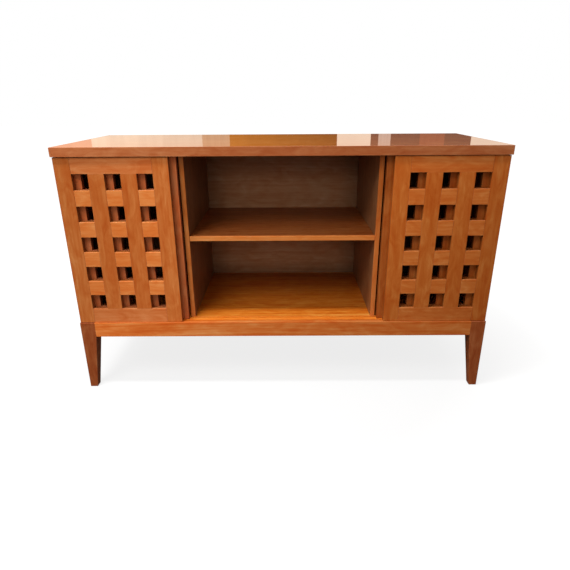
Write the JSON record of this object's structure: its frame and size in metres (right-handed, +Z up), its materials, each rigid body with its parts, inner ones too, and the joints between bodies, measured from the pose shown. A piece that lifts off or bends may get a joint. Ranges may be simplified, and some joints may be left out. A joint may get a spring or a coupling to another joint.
{
  "type": "sliding door sideboard",
  "caption": "Low wooden sideboard on tapered legs, with lattice doors that slide in parallel tracks past an open shelved middle bay and shelved side bays.",
  "frame": {"origin": "on the floor, under the centre of the top", "axes": "+X to the right along the front, +Y to the back, +Z up"},
  "size_m": [1.521, 0.579, 0.911],
  "materials": {
    "door_upright_wood": "satin lacquered reddish wood, upright grain",
    "door_cross_wood": "satin lacquered reddish wood, level grain",
    "plain_hardwood": "plain unfinished hardwood",
    "leg_wood": "satin lacquered reddish wood, upright grain",
    "apron_wood": "satin lacquered reddish wood, level grain",
    "top_lacquered_wood": "polished lacquered reddish wood",
    "lipping_wood": "satin lacquered reddish wood",
    "case_wood": "satin lacquered reddish wood",
    "back_wood": "satin veneer, level grain",
    "pin_brass": "brushed brass",
    "screw_steel": "zinc plated steel",
    "glide_plastic": "dark nylon"
  },
  "bodies": {
    "cabinet": {"apron_front": "apron_wood", "apron_rear": "apron_wood", "bottom_panel": "case_wood", "bottom_track": "case_wood", "back_panel": "back_wood", "shelf_middle": "case_wood", "shelf_pins": "pin_brass", "lower_dowels": "plain_hardwood", "upper_dowels": "plain_hardwood", "back_screws": "screw_steel", "ledger_screws": "screw_steel", "foot_glides": "glide_plastic", "top_panel": "top_lacquered_wood", "top_lipping_front": "lipping_wood", "top_lipping_rear": "lipping_wood", "top_lipping_left": "lipping_wood", "top_lipping_right": "lipping_wood", "ledger_front": "plain_hardwood", "ledger_rear": "plain_hardwood", "ledger_left": "plain_hardwood", "ledger_right": "plain_hardwood", "leg_front_left": "leg_wood", "leg_rear_left": "leg_wood", "apron_left": "apron_wood", "bearer_left": "plain_hardwood", "side_panel_left": "case_wood", "divider_left": "case_wood", "shelf_left": "case_wood", "leg_front_right": "leg_wood", "leg_rear_right": "leg_wood", "apron_right": "apron_wood", "bearer_right": "plain_hardwood", "side_panel_right": "case_wood", "divider_right": "case_wood", "shelf_right": "case_wood"},
    "front_left_door": {"front_left_door_stiles": "door_upright_wood", "front_left_door_rails": "door_cross_wood", "front_left_door_mullions": "door_upright_wood", "front_left_door_crossbars": "door_cross_wood", "front_left_door_runner": "plain_hardwood", "front_left_door_guide": "plain_hardwood"},
    "front_right_door": {"front_right_door_stiles": "door_upright_wood", "front_right_door_rails": "door_cross_wood", "front_right_door_mullions": "door_upright_wood", "front_right_door_crossbars": "door_cross_wood", "front_right_door_runner": "plain_hardwood", "front_right_door_guide": "plain_hardwood"},
    "rear_left_door": {"rear_left_door_stiles": "door_upright_wood", "rear_left_door_rails": "door_cross_wood", "rear_left_door_mullions": "door_upright_wood", "rear_left_door_crossbars": "door_cross_wood", "rear_left_door_runner": "plain_hardwood", "rear_left_door_guide": "plain_hardwood"},
    "rear_right_door": {"rear_right_door_stiles": "door_upright_wood", "rear_right_door_rails": "door_cross_wood", "rear_right_door_mullions": "door_upright_wood", "rear_right_door_crossbars": "door_cross_wood", "rear_right_door_runner": "plain_hardwood", "rear_right_door_guide": "plain_hardwood"}
  },
  "joints": [
    {"name": "front_left_door_slide", "type": "slide", "parent": "cabinet", "child": "front_left_door", "axis": [1, 0, 0], "range_m": [0, 0.3745]},
    {"name": "front_right_door_slide", "type": "slide", "parent": "cabinet", "child": "front_right_door", "axis": [-1, 0, 0], "range_m": [0, 0.3745]},
    {"name": "rear_left_door_slide", "type": "slide", "parent": "cabinet", "child": "rear_left_door", "axis": [1, 0, 0], "range_m": [0, 0.3535]},
    {"name": "rear_right_door_slide", "type": "slide", "parent": "cabinet", "child": "rear_right_door", "axis": [-1, 0, 0], "range_m": [0, 0.3535]}
  ]
}
